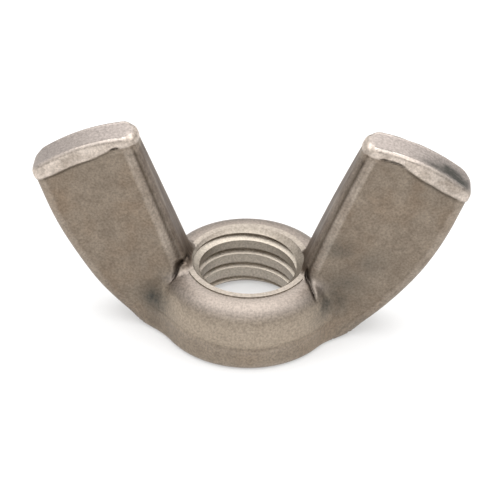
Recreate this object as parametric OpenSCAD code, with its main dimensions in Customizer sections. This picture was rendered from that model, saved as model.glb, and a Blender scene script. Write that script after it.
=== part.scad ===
// Wing nut with a coarse metric thread: a round boss and two leaning wings, forged as one piece.
// Millimetres. The thread axis is Z, the bearing face is on Z = 0 and the wings point along X.

/* [Thread] */
// Nominal diameter of the screw that fits the nut
thread_d = 8; // [6:0.5:9]
// Distance between two turns of the thread
thread_pitch = 1.25; // [0.8:0.05:1.75]
// Depth of the groove, from the crest to the root
thread_depth = 0.5; // [0.3:0.05:0.7]
// How far each countersink opens beyond the root of the thread, on the radius
countersink_over = 0.02; // [0:0.01:0.2]

/* [Boss] */
// Diameter of the foot of the boss
boss_d = 13.1; // [12:0.1:16]
// Height of the boss, from the bearing face to the lip around the bore
boss_h = 4.9; // [3.6:0.1:7]
// Width of the flat lip around the bore
lip_w = 0.42; // [0.2:0.02:0.8]
// Height of the lip above the shoulder
lip_h = 0.08; // [0.04:0.02:0.3]
// Height of the plain band around the foot
band_h = 1.7; // [0.8:0.1:2.5]
// How far the band stands out from the shoulder above it
band_step = 0.08; // [0.02:0.02:0.3]
// Radius of the edge between the bearing face and the band
foot_radius = 0.45; // [0.1:0.05:0.6]

/* [Wings] */
// Distance across both wing tips
wing_span = 30.8; // [26:0.2:38]
// Height of the wing tips above the bearing face
wing_h = 15.7; // [13:0.1:20]
// Lean of the wings from upright, in degrees
wing_lean = 20; // [15:1:26]
// Width of a wing across its broad face
blade_w = 8.1; // [6.5:0.1:9.5]
// Thickness of a wing just below its end
blade_t = 2.4; // [2:0.1:4]
// Thickness of a wing where it leaves the boss
root_t = 4.2; // [3:0.1:6]
// Radius of the curve that brings a wing's outer edge in to the foot
heel_radius = 22; // [18:1:30]
// How far past the foot that curve reaches the level of the bearing face
heel_reach = 0.8; // [0.2:0.1:2]
// How far the upset collar at the end of a wing stands out all round
collar_out = 0.1; // [0:0.02:0.3]
// Height of the collar
collar_h = 1.1; // [0.7:0.1:1.5]
// Rise of the end from its edge to the middle of the wing's width
crown = 0.5; // [0:0.05:1.2]
// Slope of the end down towards its outer side, from square, in degrees
end_tilt = 4; // [0:0.5:10]
// Radius of the edge around the end
end_radius = 0.5; // [0.2:0.05:0.8]

/* [Hidden] */
$fn = 96;
steel = "#9c9080";
// How far a cutter runs past the face that it opens
overrun = 0.5;
// Fullness of the shoulder: 2 is an ellipse, and more is squarer
shoulder_power = 2.6;
shoulder_steps = 12;
foot_steps = 4;
// Flat at the root of the thread, as a share of the pitch
root_flat = 1 / 8;
flank_angle = 30;
// Steps around a quarter of a wing's round edge, and along its broad face
edge_steps = 4;
face_steps = 6;
// Most of a wing's half width that one round edge may take
edge_limit = 0.9;
// Slices along a wing, and around the edge of its end
blade_slices = 14;
end_slices = 4;

major_r = thread_d / 2;
minor_r = major_r - thread_depth;
sink_r = major_r + countersink_over;
sink_depth = sink_r - minor_r;
boss_r = boss_d / 2;
lip_r = sink_r + lip_w;

// A wing has its own directions: across runs outwards over its width, and along runs up its lean.
tip_hw = blade_w / 2 + collar_out;
tip_ht = blade_t / 2 + collar_out;
corner = tip_hw - end_radius;
corner_drop = corner * tan(end_tilt);
corner_x = wing_span / 2 - end_radius - corner * cos(wing_lean) + corner_drop * sin(wing_lean);
corner_z = wing_h - end_radius - corner * sin(wing_lean) - corner_drop * cos(wing_lean);
mid_across = corner_x * cos(wing_lean) - corner_z * sin(wing_lean);
end_along = corner_x * sin(wing_lean) + corner_z * cos(wing_lean) + end_radius;
inner_across = mid_across - blade_w / 2;
outer_across = mid_across + blade_w / 2;
collar_along = end_along - collar_h;

// The heel's curve meets the level of the bearing face at heel_x.
heel_x = boss_r + heel_reach;
heel_turn = acos(1 - (outer_across - heel_x * cos(wing_lean)) / heel_radius);
heel_along = heel_x * sin(wing_lean) + heel_radius * sin(heel_turn);
root_along = heel_x * sin(wing_lean) - overrun;

// Outer edge of a wing, straight at the top and on the heel's curve below
function outer_edge(along) =
    along > heel_along
        ? outer_across
        : outer_across - heel_radius + sqrt(heel_radius ^ 2 - (heel_along - along) ^ 2);

// One slice of a wing: [along, middle, half width, half thickness, share of the end's crown and tilt]
function blade_slice(share) =
    let (along = root_along + (collar_along - root_along) * share)
    let (outer = outer_edge(along))
    [along, (outer + inner_across) / 2, (outer - inner_across) / 2, (root_t + (blade_t - root_t) * share) / 2, 0];

function collar_slice(share) =
    [collar_along + (collar_h - end_radius) * share, mid_across,
     tip_hw - collar_out * (1 - share), tip_ht - collar_out * (1 - share), share];

function end_slice(turn) =
    [end_along - end_radius * (1 - sin(turn)), mid_across,
     tip_hw - end_radius * (1 - cos(turn)), tip_ht - end_radius * (1 - cos(turn)), 1];

slices = [
    for (i = [0 : blade_slices]) blade_slice(i / blade_slices),
    collar_slice(0.5),
    for (i = [0 : end_slices]) end_slice(90 * i / end_slices)
];

// Upper half of a wing's section, from its outer edge over the broad face to its inner edge.
// Its edges are half round, or narrower where the wing itself is narrow.
function half_section(hw, ht) =
    let (edge = min(ht, edge_limit * hw))
    let (flat = hw - edge)
    [
        for (i = [0 : edge_steps]) let (a = 90 * i / edge_steps) [flat + edge * cos(a), ht * sin(a)],
        for (i = [1 : face_steps - 1]) [flat - 2 * flat * i / face_steps, ht],
        for (i = [0 : edge_steps]) let (a = 90 + 90 * i / edge_steps) [edge * cos(a) - flat, ht * sin(a)]
    ];

function whole_section(half) =
    concat(half, [for (i = [len(half) - 2 : -1 : 1]) [half[i][0], -half[i][1]]]);

function in_place(slice, point) =
    let (rise = crown * (1 - (point[0] / slice[2]) ^ 2) - point[0] * tan(end_tilt))
    let (along = slice[0] + slice[4] * rise)
    let (across = slice[1] + point[0])
    [across * cos(wing_lean) + along * sin(wing_lean), point[1], along * cos(wing_lean) - across * sin(wing_lean)];

// Triangles along a stack of rings with n points each
function side_faces(rings, n) = [
    for (r = [0 : rings - 2]) for (i = [0 : n - 1])
        let (a = r * n + i)
        let (b = r * n + (i + 1) % n)
        each [[a, a + n, b + n], [a, b + n, b]]
];

// Strips across a ring that is the same on both sides of its broad faces
function strip_faces(first, n) = [
    [first, first + n - 1, first + 1],
    for (i = [1 : n / 2 - 2]) [first + i, first + n - i, first + n - i - 1, first + i + 1],
    [first + n / 2 - 1, first + n / 2 + 1, first + n / 2]
];

module boss() {
    top = boss_h - lip_h;
    side_r = boss_r - band_step;
    side_z = band_h + band_step;
    foot = [
        for (i = [0 : foot_steps])
            let (a = 90 * i / foot_steps)
            [boss_r - foot_radius * (1 - sin(a)), foot_radius * (1 - cos(a))]
    ];
    shoulder = [
        for (i = [0 : shoulder_steps])
            let (a = 90 * i / shoulder_steps)
            [lip_r + (side_r - lip_r) * cos(a) ^ (2 / shoulder_power),
             side_z + (top - side_z) * sin(a) ^ (2 / shoulder_power)]
    ];
    rotate_extrude()
        polygon(concat([[0, 0]], foot, [[boss_r, band_h]], shoulder, [[lip_r, boss_h], [0, boss_h]]));
}

module wing() {
    n = 4 * edge_steps + 2 * face_steps;
    points = [
        for (slice = slices)
            for (point = whole_section(half_section(slice[2], slice[3])))
                in_place(slice, point)
    ];
    bottom = [[for (i = [0 : n - 1]) i]];
    polyhedron(points, concat(bottom, side_faces(len(slices), n), strip_faces((len(slices) - 1) * n, n)));
}

// Cylindrical hole through the crests of the thread, opened by a countersink at each face
module tapping_hole() {
    translate([0, 0, -overrun])
        cylinder(h = boss_h + 2 * overrun, r = minor_r);
    for (face = [0, 1])
        translate([0, 0, face * boss_h])
            mirror([0, 0, 1 - face])
                translate([0, 0, -sink_depth])
                    cylinder(h = sink_depth + overrun, r1 = minor_r, r2 = sink_r + overrun);
}

// Grooves of the thread, one closed ring for each turn between the countersinks
module thread_rings() {
    root_half = thread_pitch * root_flat / 2;
    mouth_half = root_half + thread_depth * tan(flank_angle);
    inner_half = mouth_half + overrun * tan(flank_angle);
    room = boss_h - 2 * sink_depth - 2 * mouth_half;
    turns = max(1, floor(room / thread_pitch) + 1);
    for (i = [0 : turns - 1])
        translate([0, 0, boss_h / 2 + thread_pitch * (i - (turns - 1) / 2)])
            rotate_extrude()
                polygon([
                    [minor_r - overrun, -inner_half],
                    [major_r, -root_half],
                    [major_r, root_half],
                    [minor_r - overrun, inner_half]
                ]);
}

module wing_nut() {
    color(steel)
        difference() {
            union() {
                boss();
                for (side = [0, 180])
                    rotate([0, 0, side])
                        wing();
            }
            tapping_hole();
            thread_rings();
            translate([-wing_span, -wing_span, -wing_h])
                cube([2 * wing_span, 2 * wing_span, wing_h]);
        }
}

wing_nut();
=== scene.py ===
# %% [markdown]
# # A forged wing nut
# A wing nut is one lump of metal. A slug of stainless steel is struck between dies, which pushes
# two wings out of a round boss, and then the boss is drilled, countersunk and tapped. This lesson
# makes it in the same order: first the forging as one smooth skin, then the cutting tools.
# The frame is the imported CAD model, and everything below is measured against it.

# %% Open the frame
import math

import bmesh
import bpy
import numpy as np
from mathutils import Matrix, Vector


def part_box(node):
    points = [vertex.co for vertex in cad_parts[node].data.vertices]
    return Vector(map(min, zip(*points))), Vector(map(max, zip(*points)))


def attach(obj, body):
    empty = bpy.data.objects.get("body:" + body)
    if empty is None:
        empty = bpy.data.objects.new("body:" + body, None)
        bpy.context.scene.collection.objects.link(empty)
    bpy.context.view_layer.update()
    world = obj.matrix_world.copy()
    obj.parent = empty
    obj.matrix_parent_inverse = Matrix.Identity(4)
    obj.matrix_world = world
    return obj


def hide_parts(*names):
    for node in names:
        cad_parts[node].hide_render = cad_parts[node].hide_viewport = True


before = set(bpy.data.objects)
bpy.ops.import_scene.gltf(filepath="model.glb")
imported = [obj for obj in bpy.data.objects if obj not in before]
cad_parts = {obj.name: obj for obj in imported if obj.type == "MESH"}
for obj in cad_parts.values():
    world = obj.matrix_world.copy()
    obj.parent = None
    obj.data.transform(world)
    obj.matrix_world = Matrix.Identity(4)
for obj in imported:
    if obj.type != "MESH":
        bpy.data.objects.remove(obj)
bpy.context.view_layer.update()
MM = 0.001
nut_low, nut_high = (np.array(corner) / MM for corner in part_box("wing_nut"))
print("nodes in the frame:", len(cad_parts))
print("CAD nut, mm:", nut_low.round(3), nut_high.round(3))

# %% [markdown]
# ## The sizes of the forging
# The span and the height come from the frame. The rest are the sizes that a die maker would write
# down, in millimetres. A wing has its own directions: *across* runs outwards over its width, and
# *along* runs up its lean. The two wings of a struck part are never quite twins, so each has
# small allowances of its own: 1 stands for the wing on +X, and -1 for its partner.

# %% Sizes of the boss and the thread
SPAN = nut_high[0] - nut_low[0]
HEIGHT = nut_high[2]

THREAD_R, THREAD_DEPTH, THREAD_PITCH = 4.0, 0.5, 1.25
SINK_R = THREAD_R + 0.02
LIP_R, LIP_H = SINK_R + 0.42, 0.08
BOSS_R, BOSS_H = 6.55, 4.9
BAND_H, BAND_STEP, FOOT_RADIUS = 1.7, 0.08, 0.45
SHOULDER_POWER = 2.6
print("span %.2f, height %.2f, boss %.2f by %.2f mm" % (SPAN, HEIGHT, 2 * BOSS_R, BOSS_H))

# %% Sizes of the wings
LEAN = math.radians(20)
BLADE_W, BLADE_T, ROOT_T = 8.1, 2.4, 4.2
HEEL_RADIUS, HEEL_REACH = 22.0, 0.8
COLLAR_OUT, COLLAR_H = 0.1, 1.1
CROWN, END_TILT, END_RADIUS = 0.5, math.radians(4.0), 0.5
# The inner edge bows out, most at the middle, and by nothing at this reach above and below it
INNER_BOW, BOW_MIDDLE, BOW_REACH = 0.06, 9.5, 5.5
# What each wing has more than its share: mm, and degrees for the tilt of its end
INNER_MORE = {1: 0.07, -1: -0.07}
OUTER_MORE = {1: 0.06, -1: -0.15}
END_MORE = {1: -0.01, -1: -0.16}
BOW_MORE = {1: 0.04, -1: -0.04}
TILT_MORE = {1: 0.4, -1: -0.4}

# %% Place of a wing in its own directions
tip_half = BLADE_W / 2 + COLLAR_OUT - END_RADIUS
tip_drop = tip_half * math.tan(END_TILT)
tip_x = SPAN / 2 - END_RADIUS - tip_half * math.cos(LEAN) + tip_drop * math.sin(LEAN)
tip_z = HEIGHT - END_RADIUS - tip_half * math.sin(LEAN) - tip_drop * math.cos(LEAN)
MIDDLE = tip_x * math.cos(LEAN) - tip_z * math.sin(LEAN)
END_ALONG = tip_x * math.sin(LEAN) + tip_z * math.cos(LEAN) + END_RADIUS
INNER, OUTER = MIDDLE - BLADE_W / 2, MIDDLE + BLADE_W / 2
heel_x = BOSS_R + HEEL_REACH
heel_turn = math.acos(1 - (OUTER - heel_x * math.cos(LEAN)) / HEEL_RADIUS)
HEEL_ALONG = heel_x * math.sin(LEAN) + HEEL_RADIUS * math.sin(heel_turn)
print("wing: inner and outer edge %.2f, %.2f, end at %.2f mm" % (INNER, OUTER, END_ALONG))

# %% [markdown]
# ## A rule instead of a cage
# The forging could be pushed and pulled out of a subdivision cage, but its faces are simple
# shapes that run into each other with different radii. That is easier to write as a rule: a
# function that gives each point's distance from the surface, negative inside the metal. Two
# small helpers do the die maker's work. `rounded` cuts one shape with another and rounds the
# edge, and `blended` joins two shapes with a fillet. `step` and `bell` fade a shape in and out,
# and the two numbers in a `step` are where it starts and ends, in millimetres.

# %% Helpers of the rule
def step(low, high, value):
    """0 below low, 1 above high, and smooth between them"""
    t = np.clip((value - low) / (high - low), 0, 1)
    return t * t * (3 - 2 * t)


def bell(value, width):
    """1 where value is 0, and smoothly down to nothing about two widths away"""
    return np.exp(-((value / width) ** 2))


def rounded(a, b, radius):
    """The metal inside both a and b, with its outside edge rounded"""
    corner = np.hypot(np.maximum(a + radius, 0), np.maximum(b + radius, 0))
    return np.minimum(np.maximum(a, b), -radius) + corner


def blended(a, b, radius):
    """The metal inside a or b, with a fillet between them"""
    near = np.maximum(radius - np.abs(a - b), 0) / radius
    return np.minimum(a, b) - near * near * radius / 4


# %% [markdown]
# ## The boss
# The boss is round, so its rule is the distance from an outline of radius and height: a plain
# band at the foot and a full shoulder above it. Pressed metal never fills a die evenly, so the
# band's top edge wanders a little as it goes round.

# %% The outline of the boss
# The band's top edge slopes in over this height
BAND_FADE = 0.25
# How far an outline runs past the faces that it shares or cuts
BEYOND = 1.0


def boss_outline(steps=20):
    """Radius and height around the boss, from below the bearing face up to the shoulder"""
    side_r, side_z, top = BOSS_R - BAND_STEP, BAND_H + BAND_FADE, BOSS_H - LIP_H
    shoulder = []
    for i in range(steps + 1):
        a = math.pi / 2 * i / steps
        out, up = math.cos(a) ** (2 / SHOULDER_POWER), math.sin(a) ** (2 / SHOULDER_POWER)
        shoulder.append((LIP_R + (side_r - LIP_R) * out, side_z + (top - side_z) * up))
    return [(-BEYOND, -BEYOND), (BOSS_R, -BEYOND), (BOSS_R, BAND_H), *shoulder, (-BEYOND, top)]


BOSS_OUTLINE = boss_outline()
print("boss outline:", len(BOSS_OUTLINE), "points")

# %% Distance from the boss
# The waves in the band's top edge: how many go round, their height and where they start
BAND_WAVES = ((2, 0.12, 0.6), (5, 0.07, 0.0))


def outline_distance(u, v, outline):
    """Signed distance of the points (u, v) from a closed outline, negative inside"""
    best = np.full(u.shape, np.inf)
    inside = np.zeros(u.shape, bool)
    for (u0, v0), (u1, v1) in zip(outline, outline[1:] + outline[:1]):
        du, dv = u1 - u0, v1 - v0
        t = np.clip(((u - u0) * du + (v - v0) * dv) / (du * du + dv * dv), 0, 1)
        best = np.minimum(best, np.hypot(u - u0 - t * du, v - v0 - t * dv))
        if dv:
            crosses = ((v0 > v) != (v1 > v)) & (u < u0 + (v - v0) * du / dv)
            inside ^= crosses
    return np.where(inside, -best, best)


def boss_distance(p):
    """The wandering band fades out towards the bearing face and towards the shoulder."""
    turn = np.arctan2(p[:, 1], p[:, 0])
    wander = sum(height * np.sin(count * turn + start) for count, height, start in BAND_WAVES)
    wander = wander * step(0.4, 1.0, p[:, 2]) * step(-3.4, -2.0, -p[:, 2])
    return outline_distance(np.hypot(p[:, 0], p[:, 1]), p[:, 2] - wander, BOSS_OUTLINE)


# %% [markdown]
# ## A wing
# A wing is a tapered slab. Its inner edge turns in two facets, with a low ridge where they leave
# the broad face and a crease where they meet. Its broad face is a shallow panel inside a plain
# rim. The metal that was pushed hardest stands out as a collar round the end. Near the inner edge
# it has folded over itself under the collar, which leaves a short open lap on both broad faces.

# %% Where a point is on a wing
def above_end(across, along, side):
    """Distance beyond the crowned and tilted end of a wing"""
    place = (across - MIDDLE) / tip_half
    fall = math.tan(END_TILT + math.radians(TILT_MORE[side]))
    end = END_ALONG + END_MORE[side] + CROWN * (1 - place**2) - (across - MIDDLE) * fall
    return (along - end) / np.hypot(1, 2 * CROWN * place / tip_half + fall)


def wing_places(p, side):
    """How far a point is up a wing, in from its inner edge, beyond its outer edge, above its end"""
    x, z = side * p[:, 0], p[:, 2]
    across = x * math.cos(LEAN) - z * math.sin(LEAN)
    along = x * math.sin(LEAN) + z * math.cos(LEAN)
    bow = (INNER_BOW + BOW_MORE[side]) * (1 - ((along - BOW_MIDDLE) / BOW_REACH) ** 2)
    from_inner = across - INNER + INNER_MORE[side] + bow
    heel = np.hypot(across - OUTER + HEEL_RADIUS, along - HEEL_ALONG) - HEEL_RADIUS
    outer = np.where(along > HEEL_ALONG, across - OUTER, heel) - OUTER_MORE[side] * step(6, 10, along)
    return along, from_inner, outer, above_end(across, along, side)


# %% The ridge and the lap under the collar
# How far in from the inner edge the ridge is, and how much further it flares at the root
RIDGE_IN, FACET_SPLIT = 0.8, 0.46
RIDGE_FLARE = {1: 1.2, -1: 0.3}
# Height of the collar where the lap has opened, and how far in from the inner edge that goes
LOW_COLLAR_H = 0.67
LAP_REACH = {1: 3.3, -1: 2.2}
# How much lower the collar is again at its outer corner
CORNER_LOSS = 0.3
COLLAR_LAP_W = 0.09


def ridge_place(along, side):
    """How far in from the inner edge the ridge is, and where its two facets meet"""
    ridge = RIDGE_IN + RIDGE_FLARE[side] * step(-7, -3, -along)
    return ridge, ridge * FACET_SPLIT


def collar_lap(from_inner, above, side):
    """1 in the short open lap under the collar, and how tall the collar is there"""
    reach = LAP_REACH[side]
    tall = LOW_COLLAR_H + (COLLAR_H - LOW_COLLAR_H) * step(reach - 1.0, reach + 1.5, from_inner)
    tall = tall - CORNER_LOSS * step(6.0, 8.2, from_inner)
    share = bell(above + tall + 0.02, COLLAR_LAP_W) * step(1.1, 1.4, from_inner)
    return share * step(-reach, 0.8 - reach, -from_inner), tall


for side in (1, -1):
    print("ridge of wing %2d: %.2f mm in at the root" % (side, ridge_place(0.0, side)[0]))

# %% Distance from a wing
FACETS = (math.radians(20), math.radians(55))
FACET_ROUND, INNER_ROUND, RIDGE_ROUND, OUTER_ROUND = 0.15, 0.2, 0.12, 0.8
CREASE_DEPTH, CREASE_W = 0.05, 0.13
CREST_H, CREST_W = 0.05, 0.15
PANEL_SINK, PANEL_MARGIN = 0.04, 0.75
COLLAR_LAP_DEPTH = 0.16
DISH_DEPTH = 0.03
# Radius between the end and a broad face
BROAD_RADIUS = 0.28
# A wing is as thick as its root up to here, and tapers above
TAPER_FROM = 2.0


def wing_distance(p, side):
    """side is 1 for the wing on +X and -1 for its partner"""
    along, from_inner, outer, above = wing_places(p, side)
    inner = -from_inner
    taper = np.clip((along - TAPER_FROM) / (END_ALONG - TAPER_FROM), 0, 1)
    half = ROOT_T / 2 + (BLADE_T - ROOT_T) / 2 * taper
    depth = half - np.abs(p[:, 1])
    # The inner edge: two facets, with a crease between them
    ridge, split = ridge_place(along, side)
    first = (ridge - from_inner) * math.sin(FACETS[0]) - depth * math.cos(FACETS[0])
    split_depth = (ridge - split) * math.tan(FACETS[0])
    second = (split - from_inner) * math.sin(FACETS[1]) - (depth - split_depth) * math.cos(FACETS[1])
    crease = CREASE_DEPTH * bell(from_inner - split, CREASE_W)
    edge = rounded(rounded(first, second, FACET_ROUND) + crease, inner, INNER_ROUND)
    # The broad face: a sunk panel inside a rim whose edge waves a little
    wave = 0.06 * np.sin(1.9 * along + side) + 0.04 * np.sin(4.3 * along + 2 * side)
    lap, tall = collar_lap(from_inner, above, side)
    low = tall + 0.05 + 0.35 * step(-4.0, -2.0, -from_inner)
    rim = np.maximum(ridge + 0.15 - from_inner, outer + PANEL_MARGIN + wave)
    rim = np.maximum(rim, above + low)
    crest = CREST_H * bell(from_inner - ridge - 0.05, CREST_W)
    face = -depth - crest + PANEL_SINK * step(-0.1, 0.2, -rim)
    blade = rounded(rounded(face, edge, RIDGE_ROUND), outer, OUTER_ROUND)
    # The collar stands out round the end, and the end is slightly dished
    collar = COLLAR_OUT * step(-0.2, 0.05, above + tall)
    dish = DISH_DEPTH * step(0.26, 0.4, collar - blade)
    narrow_edge = step(-0.9, -0.3, np.maximum(inner, outer))
    radius = BROAD_RADIUS + (END_RADIUS - BROAD_RADIUS) * narrow_edge
    return rounded(blade - collar + COLLAR_LAP_DEPTH * lap, above + dish, radius)


# %% [markdown]
# ## Boss and wings in one
# Where a wing leaves the boss, the metal turned so sharply that it closed on itself. So the
# fillet is tight at the top of the boss and full at the foot, and on the front a dark lap runs
# from the lip down beside each root. Each lap is given by its two ends.

# %% Distance from the whole forging
ROOT_FILLET, FOOT_FILLET = 0.8, 2.3
# Where each lap starts at the lip and where it ends, seen from above
ROOT_LAP = {1: ((4.15, -1.3), (5.1, -3.5)), -1: ((4.15, -0.45), (5.4, -2.6))}
ROOT_LAP_DEPTH, ROOT_LAP_W = 0.17, 0.14


def root_lap(p, side, width=ROOT_LAP_W, start=LIP_R - 0.15):
    """1 along the fold where a wing's root laps over the boss, and 0 away from it"""
    (x0, y0), (x1, y1) = ROOT_LAP[side]
    length = math.hypot(x1 - x0, y1 - y0)
    du, dv = (x1 - x0) / length, (y1 - y0) / length
    x, y = side * p[:, 0] - x0, p[:, 1] - y0
    run = x * du + y * dv
    share = bell(x * dv - y * du, width) * step(-length, 0.7 - length, -run) * step(-0.1, 0.1, run)
    beyond_start = step(start, start + 0.25, np.hypot(p[:, 0], p[:, 1]))
    return share * beyond_start * step(-5.8, -5.3, -p[:, 2])


def forging_distance(p):
    """The boss and both wings run together: tight folds at the top of the boss, full fillets below."""
    d = boss_distance(p)
    for side in (1, -1):
        fillet = ROOT_FILLET + (FOOT_FILLET - ROOT_FILLET) * step(-4.4, -2.4, -p[:, 2])
        d = blended(d, wing_distance(p, side), fillet)
    for side in (1, -1):
        d = d + ROOT_LAP_DEPTH * root_lap(p, side)
    return rounded(d, -p[:, 2], FOOT_RADIUS)


def slope(p, reach=0.01):
    """Direction in which the distance grows, by small steps along each axis"""
    out = np.empty_like(p)
    for axis in range(3):
        offset = np.zeros(3)
        offset[axis] = reach
        out[:, axis] = (forging_distance(p + offset) - forging_distance(p - offset)) / (2 * reach)
    return out


middle_of_shoulder = np.array([[0.0, -(LIP_R + BOSS_R) / 2, BOSS_H / 2]])
print("metal under the shoulder: %.2f mm" % -forging_distance(middle_of_shoulder)[0])

# %% [markdown]
# ## The slug and the strike
# A rough slug stands in for the hot metal: a disc, a bar and two slabs, joined by a voxel Remesh
# into one even skin of small quads. Each point of that skin then moves along the slope of the
# rule until its distance is zero, which is the strike of the die. Between two blows the skin is
# relaxed, so that the quads stay even where the metal moved far.

# %% Shapes of the slug
# Size of the skin's quads
SKIN = 0.11
# The bar's height, and how far it stops short of the heels
BAR_H, BAR_SHORT = 3.0, 0.25
# Where a slab starts, and how far it stays inside the heel's curve
SLAB_ROOT, SLAB_SHRINK = 3.0, 0.25


def add_disc(bm, radius, low, high):
    place = Matrix.Translation((0, 0, (low + high) / 2))
    bmesh.ops.create_cone(
        bm, cap_ends=True, segments=64, radius1=radius, radius2=radius, depth=high - low, matrix=place
    )


def add_slab(bm, side):
    """A plain slab over the outline of one wing"""
    top = END_ALONG + CROWN / 2
    corners = [(INNER, SLAB_ROOT), (INNER, top), (OUTER, top), (OUTER, HEEL_ALONG)]
    for share in (0.33, 0.66, 1.0):
        a = heel_turn * share
        across = OUTER - HEEL_RADIUS * (1 - math.cos(a)) - SLAB_SHRINK
        corners.append((across, HEEL_ALONG - HEEL_RADIUS * math.sin(a)))
    rings = []
    for y in (-BLADE_T / 2, BLADE_T / 2):
        ring = []
        for across, along in corners:
            x = across * math.cos(LEAN) + along * math.sin(LEAN)
            z = along * math.cos(LEAN) - across * math.sin(LEAN)
            ring.append(bm.verts.new((side * x, side * y, z)))
        rings.append(ring)
    bm.faces.new(rings[0])
    bm.faces.new(reversed(rings[1]))
    for i in range(len(corners)):
        j = (i + 1) % len(corners)
        bm.faces.new((rings[0][j], rings[0][i], rings[1][i], rings[1][j]))


# %% Make the slug
def new_object(name, bm):
    mesh = bpy.data.meshes.new(name)
    bm.to_mesh(mesh)
    bm.free()
    obj = bpy.data.objects.new(name, mesh)
    bpy.context.collection.objects.link(obj)
    return obj


def bake(obj, name):
    """Applies an object's modifiers into a plain mesh of that name"""
    graph = bpy.context.evaluated_depsgraph_get()
    mesh = bpy.data.meshes.new_from_object(obj.evaluated_get(graph))
    mesh.name = name
    obj.modifiers.clear()
    obj.data = mesh


bm = bmesh.new()
add_disc(bm, BOSS_R, 0, BOSS_H - LIP_H)
for side in (1, -1):
    add_slab(bm, side)
bar_size = Matrix.Diagonal((2 * (heel_x - BAR_SHORT), ROOT_T, BAR_H, 1))
bmesh.ops.create_cube(bm, size=1, matrix=Matrix.Translation((0, 0, BAR_H / 2)) @ bar_size)
bmesh.ops.recalc_face_normals(bm, faces=bm.faces)
nut = new_object("forged_wing_nut", bm)
remesh = nut.modifiers.new("skin", "REMESH")
remesh.mode = "VOXEL"
remesh.voxel_size = SKIN
bake(nut, "forged_wing_nut")
print("slug:", len(nut.data.vertices), "points")

# %% Helpers of the strike
def points_of(mesh):
    flat = np.empty(len(mesh.vertices) * 3)
    mesh.vertices.foreach_get("co", flat)
    return flat.reshape(-1, 3)


def relaxed(p, pairs, share=0.5):
    """Moves each point part of the way to the middle of its neighbours"""
    total = np.zeros_like(p)
    count = np.bincount(pairs.ravel(), minlength=len(p))[:, None]
    for axis in range(3):
        total[:, axis] += np.bincount(pairs[:, 0], weights=p[pairs[:, 1], axis], minlength=len(p))
        total[:, axis] += np.bincount(pairs[:, 1], weights=p[pairs[:, 0], axis], minlength=len(p))
    return p + share * (total / count - p)


def struck(p, most=0.3, flattest=0.05):
    """Moves each point along the rule's slope to where the distance is zero, by no more than most"""
    g = slope(p)
    move = forging_distance(p)[:, None] * g / np.maximum((g * g).sum(axis=1), flattest)[:, None]
    length = np.linalg.norm(move, axis=1, keepdims=True)
    return p - move * np.minimum(1, most / np.maximum(length, 1e-9))


# %% Strike the slug
BLOWS, RELAXED_BLOWS = 10, 7
# The last blow moves no point further than this
LAST_BLOW = 0.05
# A face agrees with the rule when its normal lies along the slope by more than this
AGREES = 0.2

skin = points_of(nut.data)
edges = np.empty(len(nut.data.edges) * 2, np.int64)
nut.data.edges.foreach_get("vertices", edges)
edges = edges.reshape(-1, 2)
for blow in range(BLOWS):
    skin = struck(skin)
    if blow < RELAXED_BLOWS:
        skin = relaxed(skin, edges)
skin = struck(skin, LAST_BLOW)
nut.data.vertices.foreach_set("co", skin.ravel())
nut.data.update()
print("strike: furthest point is %.3f mm off the rule" % np.abs(forging_distance(skin)).max())
middles = np.array([face.center[:] for face in nut.data.polygons])
normals = np.array([face.normal[:] for face in nut.data.polygons])
folded_over = (normals * slope(middles)).sum(axis=1) < AGREES
print("strike:", int(folded_over.sum()), "faces folded over, of", len(folded_over))

# %% [markdown]
# ## The tap
# The thread follows a helix, so Geometry Nodes sweep it: a spiral curve carries a trapezoid,
# and the result is the body of a tap. Its sides slope at 30 degrees, as on every metric thread.
# It starts below the nut and ends above it, so that the groove runs out through both faces.

# %% A helper for nodes
def add_node(tree, kind, inputs=None, out=None, **settings):
    """Adds a node with its settings, sets or links its inputs, and returns one of its outputs"""
    node = tree.nodes.new(kind)
    for name, value in settings.items():
        setattr(node, name, value)
    for key, value in (inputs or {}).items():
        named = [s for s in node.inputs if s.enabled and s.name == key]
        socket = named[0] if named else node.inputs[key]
        if isinstance(value, bpy.types.NodeSocket):
            tree.links.new(value, socket)
        else:
            socket.default_value = value
    return node.outputs[out] if out else next(s for s in node.outputs if s.enabled)


# %% The tap as a node tree
tap = bpy.data.node_groups.new("tap", "GeometryNodeTree")
sizes = ("Turns", "Pitch", "Lowest radius", "Highest radius", "Cutter depth", "Root width", "Mouth width")
for name in sizes:
    tap.interface.new_socket(name, in_out="INPUT", socket_type="NodeSocketFloat")
tap.interface.new_socket("Geometry", in_out="OUTPUT", socket_type="NodeSocketGeometry")
given = tap.nodes.new("NodeGroupInput").outputs
rise = add_node(tap, "ShaderNodeMath", {0: given["Turns"], 1: given["Pitch"]}, operation="MULTIPLY")
# The spiral runs through the middle of the cutter, half its depth inside its outer radius
starts_and_ends = []
for name in ("Lowest radius", "Highest radius"):
    inward = {0: given["Cutter depth"], 1: -0.5, 2: given[name]}
    starts_and_ends.append(add_node(tap, "ShaderNodeMath", inward, operation="MULTIPLY_ADD"))
spiral = add_node(tap, "GeometryNodeCurveSpiral", {
    "Resolution": 96, "Rotations": given["Turns"], "Height": rise,
    "Start Radius": starts_and_ends[0], "End Radius": starts_and_ends[1], "Reverse": True,
})
upright = add_node(tap, "GeometryNodeSetCurveNormal", {"Curve": spiral}, mode="Z_UP")
tooth = add_node(tap, "GeometryNodeCurvePrimitiveQuadrilateral", {
    "Height": given["Cutter depth"], "Bottom Width": given["Mouth width"],
    "Top Width": given["Root width"], "Offset": 0.0,
}, mode="TRAPEZOID")
turned = add_node(tap, "GeometryNodeTransform", {"Geometry": tooth, "Rotation": (0, 0, -math.pi / 2)})
swept = add_node(tap, "GeometryNodeCurveToMesh", {
    "Curve": upright, "Profile Curve": turned, "Fill Caps": True,
})
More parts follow.
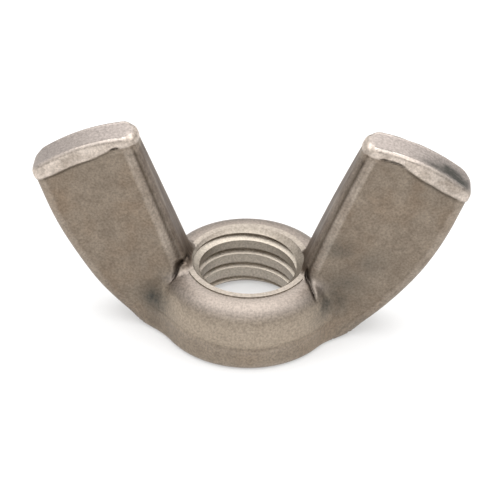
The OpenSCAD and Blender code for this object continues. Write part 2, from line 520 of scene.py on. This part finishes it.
real = add_node(tap, "GeometryNodeRealizeInstances", {"Geometry": swept})
finished = add_node(tap, "GeometryNodeSetMaterial", {"Geometry": real})
tap.links.new(finished, tap.nodes.new("NodeGroupOutput").inputs[0])
print("tap tree:", len(tap.nodes), "nodes")

# %% Grind the tap
# The tap tapers, so it cuts a little shallower at its tip, and a worn tap cuts a little small
TAP_TAPER, TAP_WEAR = 0.2, 0.06
# How far its teeth reach in past the crests, and how far above one pitch below the nut it starts
TAP_OVERLAP, TAP_LATE = 0.25, 0.3
TAP_TURNS = math.ceil(BOSS_H / THREAD_PITCH) + 2
TAP_START = -THREAD_PITCH + TAP_LATE
CUTTER_DEPTH = THREAD_DEPTH + TAP_OVERLAP
FLANK = math.radians(30)
ROOT_W = THREAD_PITCH / 8
MOUTH_W = ROOT_W + 2 * CUTTER_DEPTH * math.tan(FLANK)


def tap_radius(z):
    return THREAD_R - TAP_WEAR - TAP_TAPER * (1 - z / BOSS_H)


tap_tool = new_object("tap_tool", bmesh.new())
mod = tap_tool.modifiers.new("tap", "NODES")
mod.node_group = tap
lowest, highest = tap_radius(TAP_START), tap_radius(TAP_START + TAP_TURNS * THREAD_PITCH)
values = (TAP_TURNS, THREAD_PITCH, lowest, highest, CUTTER_DEPTH, ROOT_W, MOUTH_W)
for socket, value in zip([i for i in tap.interface.items_tree if i.in_out == "INPUT"], values):
    mod[socket.identifier] = float(value)
bake(tap_tool, "tap_tool")
tap_tool.data.transform(Matrix.Translation((0, 0, TAP_START)))
print("tap:", len(tap_tool.data.vertices), "points,", TAP_TURNS, "turns")

# %% [markdown]
# ## Drill, countersink and lip
# The other tools are turned shapes, so each is an outline spun round the axis. The lip is a
# thin turned ring that stands on the boss, and the drill is the tapping hole with a countersink
# at each face. Above the boss the drill keeps the countersink's width, because the tool passes
# between the wings and nicks their roots.

# %% Turned shapes
def turned_object(name, outline, segments=160):
    """Spins an outline of (radius, height) points into a closed solid"""
    bm = bmesh.new()
    rings = []
    for i in range(segments):
        a = 2 * math.pi * i / segments
        rings.append([bm.verts.new((r * math.cos(a), r * math.sin(a), z)) for r, z in outline])
    for ring, following in zip(rings, rings[1:] + rings[:1]):
        for i in range(len(outline)):
            j = (i + 1) % len(outline)
            bm.faces.new((ring[i], following[i], following[j], ring[j]))
    bmesh.ops.remove_doubles(bm, verts=bm.verts, dist=1e-5)
    bmesh.ops.recalc_face_normals(bm, faces=bm.faces)
    return new_object(name, bm)


# The lip's ring is sunk well into the boss, and its bore is left for the drill to open
LIP_BORE, LIP_SUNK = 2.0, 1.5
# How far the drill passes above the boss, and how much it widens there
DRILL_REACH, DRILL_TAPER = 3.0, 0.02
crest_r = THREAD_R - THREAD_DEPTH
sink_depth = SINK_R - crest_r
lip_z, drill_z = BOSS_H - LIP_SUNK, BOSS_H + DRILL_REACH
lip = turned_object("lip", [(LIP_BORE, lip_z), (LIP_R, lip_z), (LIP_R, BOSS_H), (LIP_BORE, BOSS_H)])
drill = turned_object("drill", [
    (0, -BEYOND), (SINK_R + BEYOND, -BEYOND), (SINK_R, 0), (crest_r, sink_depth),
    (crest_r, BOSS_H - sink_depth), (SINK_R, BOSS_H), (SINK_R + DRILL_TAPER, drill_z), (0, drill_z),
])
print("tapping hole: %.2f mm across, countersinks %.2f mm deep" % (2 * crest_r, sink_depth))

# %% Machine the forging
def combine(piece, tool, operation):
    mod = piece.modifiers.new(tool.name, "BOOLEAN")
    mod.object = tool
    mod.operation = operation
    mod.solver = "MANIFOLD"
    bake(piece, piece.name)
    bpy.data.objects.remove(tool)


combine(nut, lip, "UNION")
combine(nut, drill, "DIFFERENCE")
combine(nut, tap_tool, "DIFFERENCE")
print("machined nut:", len(nut.data.vertices), "points,", len(nut.data.polygons), "faces")

# %% Clean the mesh
# Points nearer than this become one
WELD = 0.002
bm = bmesh.new()
bm.from_mesh(nut.data)
bmesh.ops.remove_doubles(bm, verts=bm.verts, dist=WELD)
bmesh.ops.triangulate(bm, faces=[f for f in bm.faces if len(f.verts) > 4])
open_edges = sum(not edge.is_manifold for edge in bm.edges)
print("open edges: %d, volume: %.1f mm3" % (open_edges, bm.calc_volume(signed=True)))
bm.to_mesh(nut.data)
bm.free()
mesh = nut.data
mesh.shade_smooth()

# %% [markdown]
# ## Two kinds of shading
# The mesh of a cut forging is ragged where a tool's edge crosses the skin, and averaged normals
# would show it. Both surfaces are known exactly, so their normals are set instead. On the skin
# they are the slope of the rule. On a cut face they are the face's own, turned round the axis so
# that the bore is smooth all the way round while its edges stay crisp.

# %% Which parts are cut
# How close counts as on a surface
NEAR = 0.01


def radius_of(p):
    return np.hypot(p[:, 0], p[:, 1])


def on_lip(p):
    level = np.abs(p[:, 2] - BOSS_H + LIP_H / 2) < LIP_H / 2 + NEAR / 2
    return level & (radius_of(p) < LIP_R + NEAR)


def in_bore(p):
    return radius_of(p) < SINK_R - NEAR


normals = np.array([face.normal[:] for face in mesh.polygons])
middles = np.array([face.center[:] for face in mesh.polygons])
cut_face = (forging_distance(middles) < -2 * NEAR) | on_lip(middles) | in_bore(middles)
print("cut faces:", int(cut_face.sum()), "of", len(cut_face))

# %% Set the normals
def unit(v):
    return v / np.maximum(np.linalg.norm(v, axis=1, keepdims=True), 1e-12)


def round_axis(p):
    """Outward and sideways directions from the thread's axis at each point"""
    out = unit(p * (1, 1, 0))
    return out, np.stack((-out[:, 1], out[:, 0], np.zeros(len(p))), axis=1)


points = points_of(mesh)
corner_point = np.empty(len(mesh.loops), np.int64)
mesh.loops.foreach_get("vertex_index", corner_point)
corners = np.array([face.loop_total for face in mesh.polygons])
face_out, face_side = round_axis(middles)
corner_out, corner_side = round_axis(points[corner_point])
normal_out = np.repeat((normals * face_out).sum(axis=1), corners)[:, None]
normal_side = np.repeat((normals * face_side).sum(axis=1), corners)[:, None]
normal_up = np.repeat(normals[:, 2], corners)[:, None] * np.array((0, 0, 1))
turned_normal = normal_out * corner_out + normal_side * corner_side + normal_up
skin_normal = unit(slope(points))[corner_point]
corner_normal = np.where(np.repeat(cut_face, corners)[:, None], turned_normal, skin_normal)
mesh.normals_split_custom_set([tuple(n) for n in unit(corner_normal)])
mesh.transform(Matrix.Scale(MM, 4))
print("normals set:", len(corner_normal))

# %% [markdown]
# ## What each point has been through
# A forging wears its history. Edges are burnished where nuts tumble against each other, and they
# also carry a painted highlight. Hollows, folds and creases are darkened as painted shade, and
# the cut faces are bare metal. The rule knows all three: its Laplacian is positive on an edge and
# negative in a fold, and a cut face lies inside the forging. The ends and collars met the die
# hardest and are bright, and the facets of the inner edge beside them are darker and browner. The
# boss is painted paler as painted light, and its shoulder greyer as painted shade on its highlight.
# Each mark becomes a number on every point of the mesh for the material to read.

# %% Helpers of the marks
def bend(p, reach):
    """Positive on an outside edge and negative in a fold, in 1/mm"""
    total = -6 * forging_distance(p)
    for axis in range(3):
        for way in (-reach, reach):
            offset = np.zeros(3)
            offset[axis] = way
            total += forging_distance(p + offset)
    return total / reach**2


def spots(p, places):
    """Soft patches: the strongest of several ellipsoids, each with centre, radii and strength"""
    total = np.zeros(len(p))
    for centre, radii, strength in places:
        away = (((p - np.array(centre)) / np.array(radii)) ** 2).sum(axis=1)
        total = np.maximum(total, strength * np.exp(-away))
    return total


def on_wing(side, across, y, along):
    """A place given in a wing's own directions"""
    x = across * math.cos(LEAN) + along * math.sin(LEAN)
    return (side * x, y, along * math.cos(LEAN) - across * math.sin(LEAN))


# %% Marks of the boss and the cut faces
# Dark patches of old lubricant: four at one wing's root, one at the other's, two on one end
STAINS = [
    ((6.2, -3.0, 3.3), (1.4, 1.6, 1.0), 1.0),
    ((6.7, -2.2, 7.4), (1.1, 1.2, 0.8), 0.9),
    ((8.6, -2.2, 6.4), (1.6, 1.2, 1.2), 0.5),
    ((7.1, -2.0, 4.6), (1.5, 1.4, 1.2), 0.6),
    ((-6.6, -3.0, 2.9), (1.1, 1.6, 1.0), 1.3),
    (on_wing(1, OUTER - 1.5, -0.4, END_ALONG), (1.9, 0.72, 1.3), 1.7),
    (on_wing(1, OUTER - 3.3, -0.6, END_ALONG + 0.3), (1.1, 0.3, 0.8), 1.0),
]
# How far the boss's paler colour, painted light, reaches over the fillets
BOSS_FADE = 0.3
points = points_of(nut.data) / MM
boss = boss_distance(points)
on_boss = bell(boss, BOSS_FADE)
# Painted shade: a greyer, darker colour on the shoulder dims its highlight
shoulder = on_boss * step(3.7, 4.5, points[:, 2])
# Painted light: the boss is painted paler, fully above the band and least at the foot
on_boss *= 0.35 + 0.65 * step(1.6, 2.2, points[:, 2])
bare = np.maximum(step(0.03, 0.08, -forging_distance(points)), in_bore(points))
bare = np.maximum(bare, 0.5 * on_lip(points))
tight, wide = bend(points, 0.12), bend(points, 0.4)

# %% Marks of the wings
FACET_SHARE, CREASE_SHADE_SHARE, GLINT_SHARE = 0.35, 0.6, 0.6
# Streaks run along a wing, so their pattern is drawn out this many times
STREAK_LENGTH = 10
end, collar, dark_inner_facets, laps, edge_glint = np.zeros((5, len(points)))
streak_place = np.zeros((len(points), 3))
for side in (1, -1):
    mine = points[:, 0] * side > 0
    p = points[mine]
    along, from_inner, outer, above = wing_places(p, side)
    end[mine] = step(-0.22, -0.05, above)
    lap, tall = collar_lap(from_inner, above, side)
    collar[mine] = step(-0.1, 0.1, above + tall) * (1 - end[mine])
    ridge, split = ridge_place(along, side)
    below_collar = step(-0.1, 0.3, -above - COLLAR_H)
    off_boss = step(0.1, 0.4, boss[mine])
    second_facet = step(0.0, 0.12, split - from_inner)
    facets = np.maximum(second_facet, FACET_SHARE * step(0.0, 0.1, ridge - from_inner))
    # Darker, browner colour on the facets of the inner edge below the collar, in streaks
    dark_inner_facets[mine] = facets * below_collar * off_boss
    # Painted shade: the crease where the two facets meet is darkened
    crease = CREASE_SHADE_SHARE * bell(from_inner - split, 0.08) * below_collar * off_boss
    # The open laps are dark in their gap, and their mark is drawn wider than the groove as painted shade
    laps[mine] = np.maximum(np.maximum(root_lap(p, side, 0.18, SINK_R), lap), crease)
    streak_place[mine] = np.stack((from_inner + 20 * side, p[:, 1], along / STREAK_LENGTH), axis=1)
    beside_lap = step(0.5, 0.7, from_inner) * step(-LAP_REACH[side], -2, -from_inner)
    # Painted highlight: a bright line near the end, beside the collar's lap
    edge_glint[mine] = GLINT_SHARE * step(-0.25, -0.1, above) * beside_lap

# %% Store the marks on the mesh
marks = {
    # Lighter edges: partly wear, and partly a painted highlight along ridges and edges
    "wear_and_edge_sheen": np.clip(0.08 * tight + 0.2 * wide, 0, 1),
    # Painted shade: darker where the rule bends inwards, in hollows and folds, together with the laps and
    # the crease
    "fold": np.maximum(np.clip(-0.1 * tight - 0.1 * wide - 0.05, 0, 1), laps),
    "cut": bare,
    "stain": spots(points, STAINS),
    # Painted light: the boss painted paler
    "boss": on_boss,
    # Painted shade: the shoulder's highlight dimmed and greyed
    "shoulder": shoulder,
    "end": end,
    "collar": collar,
    # Darker, browner inner facets
    "dark_inner_facets": dark_inner_facets,
    # Painted highlight line
    "edge_glint": edge_glint,
}
for name, values in marks.items():
    layer = nut.data.attributes.new(name, "FLOAT", "POINT")
    layer.data.foreach_set("value", values.astype(np.float32))
    print("%-9s mean %.3f, most %.2f" % (name, values.mean(), values.max()))
layer = nut.data.attributes.new("streak_place", "FLOAT_VECTOR", "POINT")
layer.data.foreach_set("vector", (streak_place * MM).astype(np.float32).ravel())

# %% [markdown]
# ## Cold-forged stainless steel
# The metal is austenitic stainless, cold forged and tumbled. Its skin is satin and a little
# brown from the lubricant that is pressed into it. The boss is painted paler, as painted light,
# and its shoulder greyer, as painted shade that dims its highlight. The ends and collars are bright
# where the die burnished them, and the cut thread is bare and smoother. Edges carry wear and a
# painted highlight, hollows and creases carry painted shade, and a painted highlight line runs
# beside the collar's lap. The colour is built like the real surface, in layers: each has a mark
# that says where it lies and a noise that breaks it up.

# %% Patterns in the metal
def linear(hex_colour):
    """sRGB hex to the linear colour that a shader takes"""
    parts = [int(hex_colour[i:i + 2], 16) / 255 for i in (1, 3, 5)]
    return tuple(c / 12.92 if c <= 0.04045 else ((c + 0.055) / 1.055) ** 2.4 for c in parts) + (1.0,)


steel = bpy.data.materials.new("cold_forged_stainless_steel")
steel.use_nodes = True
tree = steel.node_tree
shader = tree.nodes["Principled BSDF"]
place = add_node(tree, "ShaderNodeTexCoord", out="Object")
along_wing = add_node(tree, "ShaderNodeAttribute", out="Vector", attribute_name="streak_place")
# Where each noise is read, its size in millimetres, its detail and its roughness. Tumbling grain
# is only a few hundredths of a millimetre; it is drawn coarser, as coarse as it needs to show.
NOISES = {
    "grain": (place, 0.16, 2.0, 0.6),
    "mottle": (place, 1.1, 4.0, 0.65),
    "cloud": (place, 4.0, 3.0, 0.6),
    "streaks": (along_wing, 0.22, 2.0, 0.6),
}
pattern = {}
for name, (where, size_mm, detail, roughness) in NOISES.items():
    inputs = {"Vector": where, "Scale": 1 / (size_mm * MM), "Detail": detail, "Roughness": roughness}
    pattern[name] = add_node(tree, "ShaderNodeTexNoise", inputs, out="Fac")

# %% The painted highlight beside the collar's lap
# A painted highlight: a hair of near-white colour, drawn as a line at one depth so that it stays sharp
# between the points
GLINT_IN, GLINT_W = 0.3, 0.08
glint_y = (BLADE_T / 2 + COLLAR_OUT - GLINT_IN) * MM
depth = add_node(tree, "ShaderNodeSeparateXYZ", {"Vector": place}, out="Y")
off_line = add_node(tree, "ShaderNodeMath", {0: depth, 1: glint_y}, operation="ADD")
pattern["burr line"] = add_node(tree, "ShaderNodeMath", {0: off_line}, operation="ABSOLUTE")
print("patterns:", ", ".join(pattern))

# %% Layers of colour
skin_inputs = {"Value": pattern["mottle"], "From Min": 0.35, "From Max": 0.7}
skin_share = add_node(tree, "ShaderNodeMapRange", skin_inputs)
skin_colours = {"Factor": skin_share, "A": linear("#7f7366"), "B": linear("#918577")}
colour = add_node(tree, "ShaderNodeMix", skin_colours, data_type="RGBA")
cloud_inputs = {"Value": pattern["cloud"], "From Min": 0.5, "From Max": 0.75, "To Min": 0.0, "To Max": 0.5}
cloud_share = add_node(tree, "ShaderNodeMapRange", cloud_inputs)
cloud_colours = {"Factor": cloud_share, "A": colour, "B": linear("#897561")}
colour = add_node(tree, "ShaderNodeMix", cloud_colours, data_type="RGBA")

# The mark, the pattern that breaks it up, the range of that pattern, the share of the layer at
# each end of the range, and its colour
LAYERS = [
    # Painted light: the boss front painted paler
    ("boss", "mottle", 0.0, 1.0, 0.8, 0.8, "#aa9d8d"),
    # Painted shade: the shoulder's highlight dimmed and greyed
    ("shoulder", "mottle", 0.0, 1.0, 0.9, 0.9, "#8b827b"),
    # Darker, browner colour on the inner facets, in streaks
    ("dark_inner_facets", "streaks", 0.38, 0.62, 0.55, 1.0, "#4e3f33"),
    ("end", "mottle", 0.0, 1.0, 0.9, 0.9, "#aaa19c"),
    # Partly worn edges, partly a painted highlight on ridges and edges
    ("wear_and_edge_sheen", "mottle", 0.3, 0.6, 0.25, 0.5, "#bbb0a5"),
    ("collar", "mottle", 0.35, 0.6, 0.4, 1.0, "#d2c6bb"),
    ("stain", "mottle", 0.32, 0.62, 0.35, 1.0, "#514f4a"),
    ("cut", "mottle", 0.0, 1.0, 1.0, 1.0, "#afa69a"),
    # Painted shade in hollows, folds, laps and the crease, over the laps' own dark gap
    ("fold", "mottle", 0.0, 1.0, 0.9, 0.9, "#2c251f"),
    # Painted highlight: a near-white line beside the collar's lap
    ("edge_glint", "burr line", 0.0, GLINT_W * MM, 1.0, 0.0, "#f0ebe4"),
]
layer_share = {}
for name, breaker, low, high, at_low, at_high, hex_colour in LAYERS:
    mark = add_node(tree, "ShaderNodeAttribute", out="Fac", attribute_name=name)
    strength = add_node(tree, "ShaderNodeMapRange", {
        "Value": pattern[breaker], "From Min": low, "From Max": high, "To Min": at_low, "To Max": at_high,
    })
    share = add_node(tree, "ShaderNodeMath", {0: mark, 1: strength}, operation="MULTIPLY")
    over = {"Factor": share, "A": colour, "B": linear(hex_colour)}
    colour = add_node(tree, "ShaderNodeMix", over, data_type="RGBA")
    layer_share[name] = share
print("layers:", len(LAYERS))

# %% Grain and satin finish
# The grain darkens and lightens the colour, varies the roughness and raises a faint relief
grain = {"Value": pattern["grain"]}
fleck_range = {"From Min": 0.32, "From Max": 0.68, "To Min": 0.76, "To Max": 1.2}
fleck = add_node(tree, "ShaderNodeMapRange", grain | fleck_range)
speckled = add_node(tree, "ShaderNodeVectorMath", {0: colour, "Scale": fleck}, operation="SCALE")
rough_range = {"From Min": 0.3, "From Max": 0.7, "To Min": 0.42, "To Max": 0.54}
rough = add_node(tree, "ShaderNodeMapRange", grain | rough_range)
# Rubbed edges and cut metal are smoother than the skin
for name, smoother in (("wear_and_edge_sheen", -0.1), ("cut", -0.08)):
    change = {0: layer_share[name], 1: smoother, 2: rough}
    rough = add_node(tree, "ShaderNodeMath", change, operation="MULTIPLY_ADD")
RELIEF = 0.02
relief = {"Height": pattern["grain"], "Strength": 0.35, "Distance": RELIEF * MM}
tree.links.new(speckled, shader.inputs["Base Color"])
tree.links.new(rough, shader.inputs["Roughness"])
tree.links.new(add_node(tree, "ShaderNodeBump", relief), shader.inputs["Normal"])
shader.inputs["Metallic"].default_value = 1.0
nut.data.materials.clear()
nut.data.materials.append(steel)
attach(nut, "root")
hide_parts("wing_nut")
print("metal:", len(tree.nodes), "nodes")

# %% [markdown]
# ## Paper, tent and camera
# The nut stands on white paper in a white tent, which is how small metal parts are shown: the
# metal has only pale things to mirror, and its shadows stay faint. The paper glows a little, to
# stand for the light that comes through it. A soft box overhead lights the lip and the shoulder,
# and the tent is darker towards the horizon, which gives the upright faces their depth.

# %% Floor
FLOOR_SIZE, FLOOR_GLOW = 1.2, 0.4
bm = bmesh.new()
bmesh.ops.create_grid(bm, x_segments=1, y_segments=1, size=FLOOR_SIZE)
floor = new_object("floor", bm)
paper = bpy.data.materials.new("white_paper")
paper.use_nodes = True
paper_inputs = paper.node_tree.nodes["Principled BSDF"].inputs
paper_inputs["Base Color"].default_value = linear("#b3b3b3")
paper_inputs["Emission Color"].default_value = linear("#ffffff")
paper_inputs["Emission Strength"].default_value = FLOOR_GLOW
paper_inputs["Roughness"].default_value = 0.9
floor.data.materials.append(paper)
print("floor: %.1f m across" % (2 * FLOOR_SIZE))

# %% Soft box
BOX_PLACE, BOX_AIM = Vector((0.0, 0.08, 0.30)), Vector((0, 0, 0.006))
BOX_SIZE, BOX_POWER = 0.5, 0.9
box_data = bpy.data.lights.new("top_softbox", "AREA")
box_data.size = BOX_SIZE
box_data.energy = BOX_POWER
soft_box = bpy.data.objects.new("top_softbox", box_data)
bpy.context.collection.objects.link(soft_box)
soft_box.location = BOX_PLACE
soft_box.rotation_euler = (BOX_AIM - BOX_PLACE).to_track_quat("-Z", "Y").to_euler()
print("soft box: %.1f W, %.1f m wide" % (BOX_POWER, BOX_SIZE))

# %% Tent
world = bpy.data.worlds.new("white_tent")
world.use_nodes = True
tree = world.node_tree
direction = add_node(tree, "ShaderNodeTexCoord", out="Generated")
up = add_node(tree, "ShaderNodeSeparateXYZ", {"Vector": direction}, out="Z")
height_share = add_node(tree, "ShaderNodeMapRange", {"Value": up, "From Min": -0.1, "From Max": 0.8})
sky_colours = {"Factor": height_share, "A": linear("#8f8a84"), "B": linear("#ffffff")}
sky = add_node(tree, "ShaderNodeMix", sky_colours, data_type="RGBA")
glow_inputs = {"Value": up, "From Min": 0.0, "From Max": 0.9, "To Min": 0.9, "To Max": 2.0}
glow = add_node(tree, "ShaderNodeMapRange", glow_inputs)
tree.links.new(sky, tree.nodes["Background"].inputs["Color"])
tree.links.new(glow, tree.nodes["Background"].inputs["Strength"])
bpy.context.scene.world = world
bpy.context.scene.view_settings.view_transform = "Standard"
print("tent:", len(tree.nodes), "nodes")

# %% Camera
ELEVATION, AZIMUTH, ROLL = math.radians(36.25), math.radians(3.2), math.radians(-1.2)
SENSOR, DISTANCE, VIEW_W = 36, 145.0, 35.714
aim = Vector((0.13, 0, 5.75))
level = math.cos(ELEVATION)
back = Vector((math.sin(AZIMUTH) * level, -math.cos(AZIMUTH) * level, math.sin(ELEVATION)))
camera_data = bpy.data.cameras.new("camera")
camera_data.sensor_width = SENSOR
camera_data.lens = SENSOR * DISTANCE / VIEW_W
camera_data.clip_start = 0.01
camera = bpy.data.objects.new("camera", camera_data)
bpy.context.collection.objects.link(camera)
camera.location = (aim + back * DISTANCE) * MM
look = back.to_track_quat("Z", "Y").to_matrix()
camera.rotation_euler = (look @ Matrix.Rotation(-ROLL, 3, "Z")).to_euler()
bpy.context.scene.camera = camera
print("camera: %.0f mm lens, %.0f mm away" % (camera_data.lens, DISTANCE))
